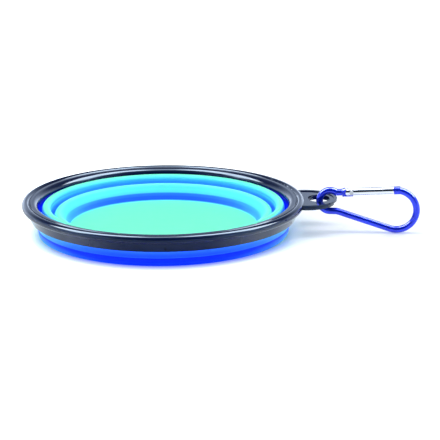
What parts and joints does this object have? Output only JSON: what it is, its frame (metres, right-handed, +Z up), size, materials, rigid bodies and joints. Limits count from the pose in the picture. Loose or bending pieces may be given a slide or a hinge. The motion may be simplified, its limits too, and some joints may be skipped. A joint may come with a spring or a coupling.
{
  "type": "collapsible silicone bowl",
  "caption": "Round collapsible travel bowl, folded flat: pleated silicone cup in a stiff rim ring with a slotted hanging tab and a snap link through it.",
  "frame": {"origin": "on the bowl's axis, on the underside of the flat base", "axes": "+Z up along the bowl's axis, out of its mouth; +X out through the middle of the hanging tab"},
  "size_m": [0.1824, 0.13, 0.0221],
  "materials": {
    "rim_plastic": "satin dark grey",
    "silicone": "soft, slightly see-through light blue",
    "link_metal": "blue anodised, bright",
    "gate_metal": "bright, plain",
    "steel": "plain"
  },
  "bodies": {
    "rim": {"rim_frame": "rim_plastic", "rim_ring": "rim_plastic", "outer_wall": "silicone", "outer_web": "silicone"},
    "middle": {"middle_wall": "silicone", "inner_web": "silicone"},
    "base": {"inner_wall": "silicone", "base_floor": "silicone"},
    "link": {"link_hook": "link_metal"},
    "gate": {"link_gate": "gate_metal", "gate_rivet": "steel", "gate_spring": "steel"},
    "plunger": {"gate_plunger": "steel"}
  },
  "joints": [
    {"name": "outer_fold", "type": "slide", "parent": "rim", "child": "middle", "axis": [0, 0, -1], "range_m": [0, 0.0197], "deforming": ["outer_web"]},
    {"name": "inner_fold", "type": "slide", "parent": "middle", "child": "base", "axis": [0, 0, -1], "range_m": [0, 0.0135], "deforming": ["inner_web"]},
    {"name": "link_swing", "type": "hinge", "parent": "rim", "child": "link", "pos_m": [0.07651, -0.00479, 0.01475], "axis": [-0.1219, -0.9925, 0], "range_deg": [-80, 110]},
    {"name": "gate_open", "type": "hinge", "parent": "link", "child": "gate", "pos_m": [0.08624, -0.00598, 0.01909], "axis": [0.1219, 0.9925, 0], "range_deg": [0, 30], "stiffness_Nm_per_rad": 0.0004, "springref_deg": -28.65},
    {"name": "plunger_slide", "type": "slide", "parent": "gate", "child": "plunger", "axis": [0.9913, -0.1217, 0.0496], "range_m": [0, 0.000628], "deforming": ["gate_spring"]}
  ],
  "couplings": [
    {"joint": "gate_open", "follows": "plunger_slide", "rad_per_m": 833.33}
  ]
}
